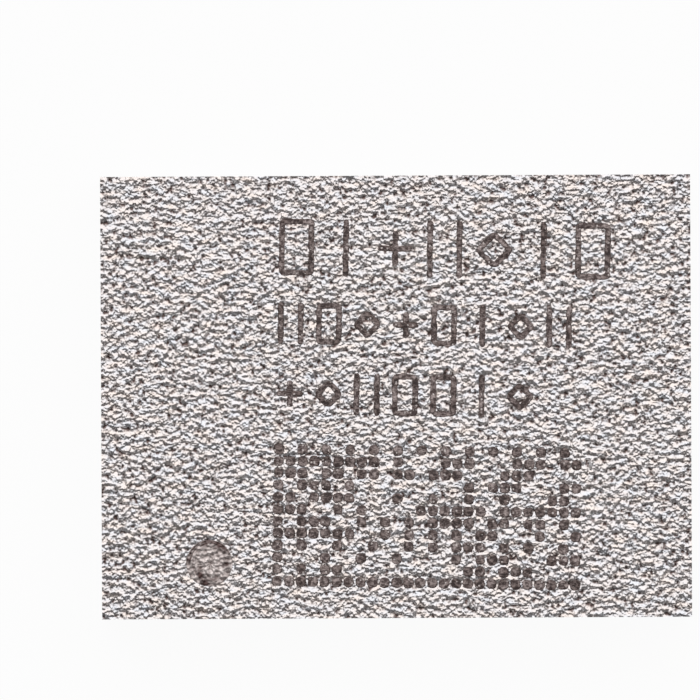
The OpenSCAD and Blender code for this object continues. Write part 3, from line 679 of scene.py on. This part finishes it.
# Shield. A metal skin a few thousandths of a millimetre thick, sputtered over the moulded and sawn module.
# Its top keeps the mould's coarse grain, lowered to a bed under each laser mark, and its walls keep the
# saw's fine streaks.
SKIN_COLUMNS = 316
SKIN_ROWS = 237
GRAIN_REACH = 8.5e-6 * np.array([1.0, 1.15])
GRAIN_DEPTH = 1.5e-6
GRAIN_SKEW = 0.2
GRAIN_TOP = 3.0e-6
GRAIN_FLOOR = -7.5e-6
MARK_HOLLOW = -3.6e-6
SIGN_NEAR, SIGN_INSET = 45e-6, 2e-6
DOT_NEAR, DOT_OUTSET = 60e-6, 2e-6
PIN_INSET = 4e-6
EDGE_ROUND = 0.3e-6

# The top is a grid whose heights are blurred noise less a share of its square, which flattens the crests
across = np.linspace(shield_low.x, shield_high.x, SKIN_COLUMNS + 1)
along = np.linspace(shield_low.y, shield_high.y, SKIN_ROWS + 1)
X, Y = np.meshgrid(across, along)
pitch = (along[1] - along[0], across[1] - across[0])
rough = blurred_noise(SKIN_ROWS + 1, SKIN_COLUMNS + 1, pitch, GRAIN_REACH, seed=11)
relief = np.clip(GRAIN_DEPTH * (rough - GRAIN_SKEW * (rough**2 - 1)), GRAIN_FLOOR, GRAIN_TOP)


def gap_to(points, reach):
    """Distance from each of the skin's top points to the nearest of the given points, and at most reach."""
    gap = np.full(X.size, reach)
    base = np.round((points - [across[0], along[0]]) / [pitch[1], pitch[0]]).astype(int)
    span = int(reach / min(pitch)) + 1
    for down in range(-span, span + 1):
        for right in range(-span, span + 1):
            column = np.clip(base[:, 0] + right, 0, SKIN_COLUMNS)
            row = np.clip(base[:, 1] + down, 0, SKIN_ROWS)
            away = np.hypot(across[column] - points[:, 0], along[row] - points[:, 1])
            np.minimum.at(gap, row * (SKIN_COLUMNS + 1) + column, away)
    return gap.reshape(X.shape)


def lowered(gap, radius):
    """1 up to the radius and 0 from one cell past it, straight between."""
    return np.clip(1 - (gap - radius) / pitch[0], 0, 1)


hollow = np.maximum.reduce([
    lowered(gap_to(np.concatenate(centre_lines), SIGN_NEAR), STROKE_W / 2 - SIGN_INSET),
    lowered(gap_to(dot_middles, DOT_NEAR), DOT_D / 2 + DOT_OUTSET),
    lowered(np.hypot(X - PIN_MARK_AT[0], Y - PIN_MARK_AT[1]), PIN_MARK_D / 2 - PIN_INSET),
])
relief = relief * (1 - hollow) + MARK_HOLLOW * hollow
top = np.stack([X, Y, shield_high.z + relief], -1)
border = np.zeros(X.shape, bool)
border[0, :] = border[-1, :] = border[:, 0] = border[:, -1] = True
top[border, 2] = shield_high.z - EDGE_ROUND

# The walls hang from the points round the top's border, counterclockwise from above, at these heights and
# offsets. Their streaks are noise that is long along the wall and cut off at the saw's plane.
WALL_LEVELS = np.array([0, 14, 28, 60, 105, 122, 139, 180, 222, 238, 262, 340, 450, 580]) * 1e-6
WALL_RELIEF = np.array([-1, 1, -1, -2, -2, 0, -2, -2, -1, 1, -1, 0, 0, 0]) * 0.6e-6
WALL_ROWS = len(WALL_LEVELS)
STREAK_PITCH = 40e-6
STREAK_REACH = (8e-6, 60e-6)
STREAK_DEPTH = 0.8e-6
STREAK_MIDDLE, STREAK_MOST = 2.5, 5
row_of = np.concatenate([
    np.zeros(SKIN_COLUMNS, int),
    np.arange(SKIN_ROWS),
    np.full(SKIN_COLUMNS, SKIN_ROWS),
    np.arange(SKIN_ROWS, 0, -1),
])
column_of = np.concatenate([
    np.arange(SKIN_COLUMNS),
    np.full(SKIN_ROWS, SKIN_COLUMNS),
    np.arange(SKIN_COLUMNS, 0, -1),
    np.zeros(SKIN_ROWS, int),
])
ring = row_of * (SKIN_COLUMNS + 1) + column_of
ring_count = len(ring)
ring_xy = top[row_of, column_of, :2]
outward_x = (column_of == SKIN_COLUMNS).astype(float) - (column_of == 0)
outward_y = (row_of == SKIN_ROWS).astype(float) - (row_of == 0)
outward = np.stack([outward_x, outward_y], -1)
streaks = blurred_noise(WALL_ROWS, ring_count, (STREAK_PITCH, pitch[1]), STREAK_REACH, seed=12)
inward = STREAK_DEPTH * (streaks - STREAK_MIDDLE).clip(-STREAK_MOST, 0) + WALL_RELIEF[:, None]
walls = np.empty((WALL_ROWS, ring_count, 3))
walls[..., :2] = ring_xy[None] + outward[None] * inward[..., None]
walls[..., 2] = shield_low.z + WALL_LEVELS[:, None]

# Inside, plain walls and a ceiling that is a fan round one middle point
SHIELD_T = 10e-6
inner_xy = ring_xy - outward * SHIELD_T
ceiling_z = shield_high.z - SHIELD_T
inner = np.stack([np.column_stack([inner_xy, np.full(ring_count, z)]) for z in (shield_low.z, ceiling_z)])
points = np.concatenate([top.reshape(-1, 3), walls.reshape(-1, 3), inner.reshape(-1, 3), [[0, 0, ceiling_z]]])
first_wall = X.size
last_wall = first_wall + (WALL_ROWS - 1) * ring_count
first_inner = first_wall + WALL_ROWS * ring_count
last_inner = first_inner + ring_count
here, there = np.arange(ring_count), (np.arange(ring_count) + 1) % ring_count
top_faces = grid_quads(SKIN_ROWS + 1, SKIN_COLUMNS + 1)
faces = np.concatenate([
    top_faces,
    first_wall + grid_quads(WALL_ROWS, ring_count, wrap_columns=True),
    np.stack([last_wall + here, last_wall + there, ring[there], ring[here]], -1),
    np.stack([first_inner + here, first_inner + there, first_wall + there, first_wall + here], -1),
    np.stack([first_inner + there, first_inner + here, last_inner + here, last_inner + there], -1),
]).tolist()
middle_point = np.full(ring_count, len(points) - 1)
faces += np.stack([last_inner + there, last_inner + here, middle_point], -1).tolist()
shield = new_mesh("sputtered_shield", points, faces)
side = np.ones(len(faces), np.int32)
side[:len(top_faces)] = 0
shield.data.polygons.foreach_set("material_index", side)
ends = np.empty(2 * len(shield.data.edges), np.int32)
shield.data.edges.foreach_get("vertices", ends)
on_border = np.isin(ends.reshape(-1, 2), ring).all(1)
shield.data.edges.foreach_set("use_edge_sharp", on_border)

HOLLOW_GRAIN, CREST_GRAIN = 0.13, 0.4
metal, tree, surface = new_material("sputtered metal", Metallic=0.9, Roughness=0.3)
grain = mask(tree, grain_group, Scale=31500.0, Stretch=(1.1, 1.0, 1.0), Detail=0.8, Low=0.2, High=0.8)
tint = mask(tree, grain_group, Scale=12000.0, Stretch=(0.8, 1.6, 1.0), Detail=2.0, Low=0.3, High=0.7)
crest = blend(tree, tint, linear(195, 196, 201), linear(208, 197, 191))
# Painted shade: the metal's colour darkens to brown in the grain's hollows, for the shade there.
out_of_hollow_shade = ramp(tree, grain, HOLLOW_GRAIN, CREST_GRAIN)
painted(tree, surface, blend(tree, out_of_hollow_shade, linear(88, 73, 70), crest))
bumped(tree, surface, grain, depth=12e-6)

STREAK_OVER_BEAD = 1.6
sawn, tree, surface = new_material("sputtered walls", Metallic=0.9, Roughness=0.42)
streak = mask(tree, grain_group, Scale=5000.0, Stretch=(1.0, 1.0, 22.0), Detail=4.0, Low=0.3, High=0.7)
bead = mask(tree, grain_group, Scale=60000.0, Detail=1.0, Low=0.25, High=0.75)
sheen = mask(tree, grain_group, Scale=2500.0, Stretch=(1.0, 1.0, 2.0), Detail=2.0)
grey = blend(tree, sheen, linear(188, 184, 182), linear(216, 212, 209))
lined = blend(tree, streak, linear(154, 147, 145), grey)
painted(tree, surface, blend(tree, bead, linear(124, 115, 113), lined))
bumped(tree, surface, calc(tree, "MULTIPLY_ADD", streak, STREAK_OVER_BEAD, bead), depth=3e-6)
shield.data.materials.append(metal)
shield.data.materials.append(sawn)
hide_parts("shield")
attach(shield, "root")
